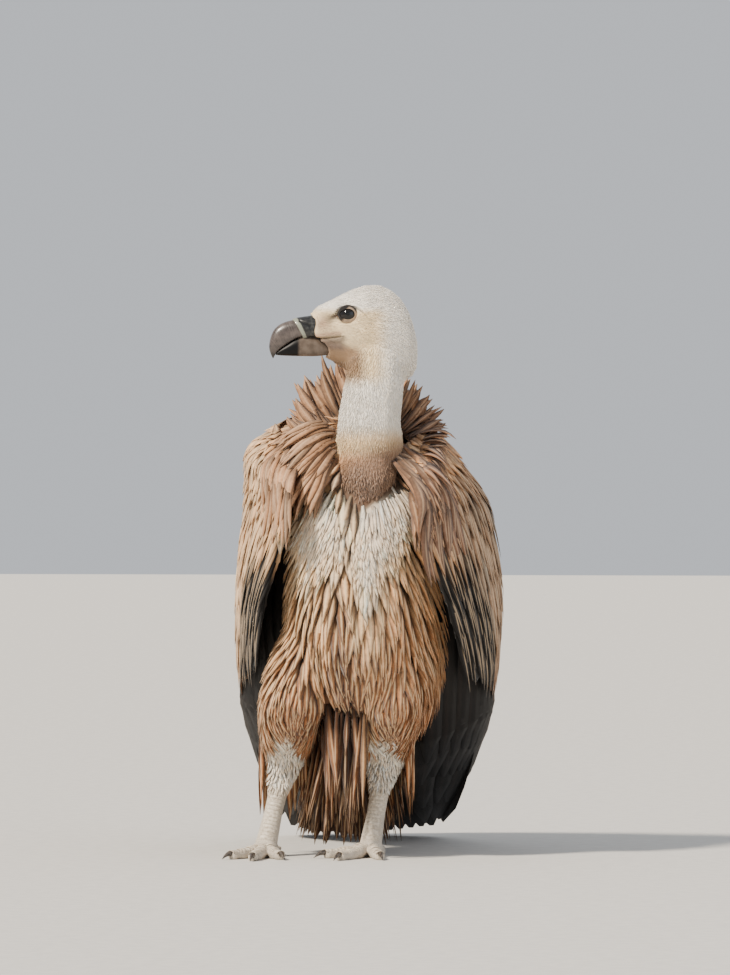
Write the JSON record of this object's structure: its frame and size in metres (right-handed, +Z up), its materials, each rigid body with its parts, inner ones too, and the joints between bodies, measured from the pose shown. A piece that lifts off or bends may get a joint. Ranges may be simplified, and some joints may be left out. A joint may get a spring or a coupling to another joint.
{
  "type": "griffon vulture",
  "caption": "Standing griffon vulture, life size: hooked bill, downy head turned aside, ruff, folded wings hanging to the tail, scaled feet flat on the floor.",
  "frame": {"origin": "middle of the underside of the whole bird's box, on the floor it stands on", "axes": "+Z up, the breast faces -Y, the bird's left side is +X"},
  "size_m": [0.3136, 0.5604, 0.6586],
  "materials": {
    "down": "short soft white down",
    "tan_feather": "matt lance-shaped feathers with pale shafts",
    "dark_feather": "smooth dark flight feathers, slight sheen",
    "ruff_feather": "loose matt lance-shaped feathers",
    "bill_horn": "satin horn",
    "cere_skin": "smooth bare skin",
    "eye": "wet gloss",
    "leg_scutes": "dry grey scutes",
    "claw_horn": "worn satin horn"
  },
  "bodies": {
    "root": {"bill_lower": "bill_horn", "bill_upper": "bill_horn", "cere": "cere_skin", "claw_hind_left": "claw_horn", "claw_hind_right": "claw_horn", "claw_inner_left": "claw_horn", "claw_inner_right": "claw_horn", "claw_middle_left": "claw_horn", "claw_middle_right": "claw_horn", "claw_outer_left": "claw_horn", "claw_outer_right": "claw_horn", "crop": "down", "eye_left": "eye", "eye_right": "eye", "head": "down", "neck": "down", "ruff": "ruff_feather", "tail": "dark_feather", "tarsus_left": "leg_scutes", "tarsus_right": "leg_scutes", "thigh_left": "tan_feather", "thigh_right": "tan_feather", "toe_hind_left": "leg_scutes", "toe_hind_right": "leg_scutes", "toe_inner_left": "leg_scutes", "toe_inner_right": "leg_scutes", "toe_middle_left": "leg_scutes", "toe_middle_right": "leg_scutes", "toe_outer_left": "leg_scutes", "toe_outer_right": "leg_scutes", "trunk": "tan_feather", "vent": "tan_feather", "wing_coverts_left": "tan_feather", "wing_coverts_right": "tan_feather", "wing_flight_left": "dark_feather", "wing_flight_right": "dark_feather", "wing_shoulder_left": "tan_feather", "wing_shoulder_right": "tan_feather"}
  },
  "joints": []
}
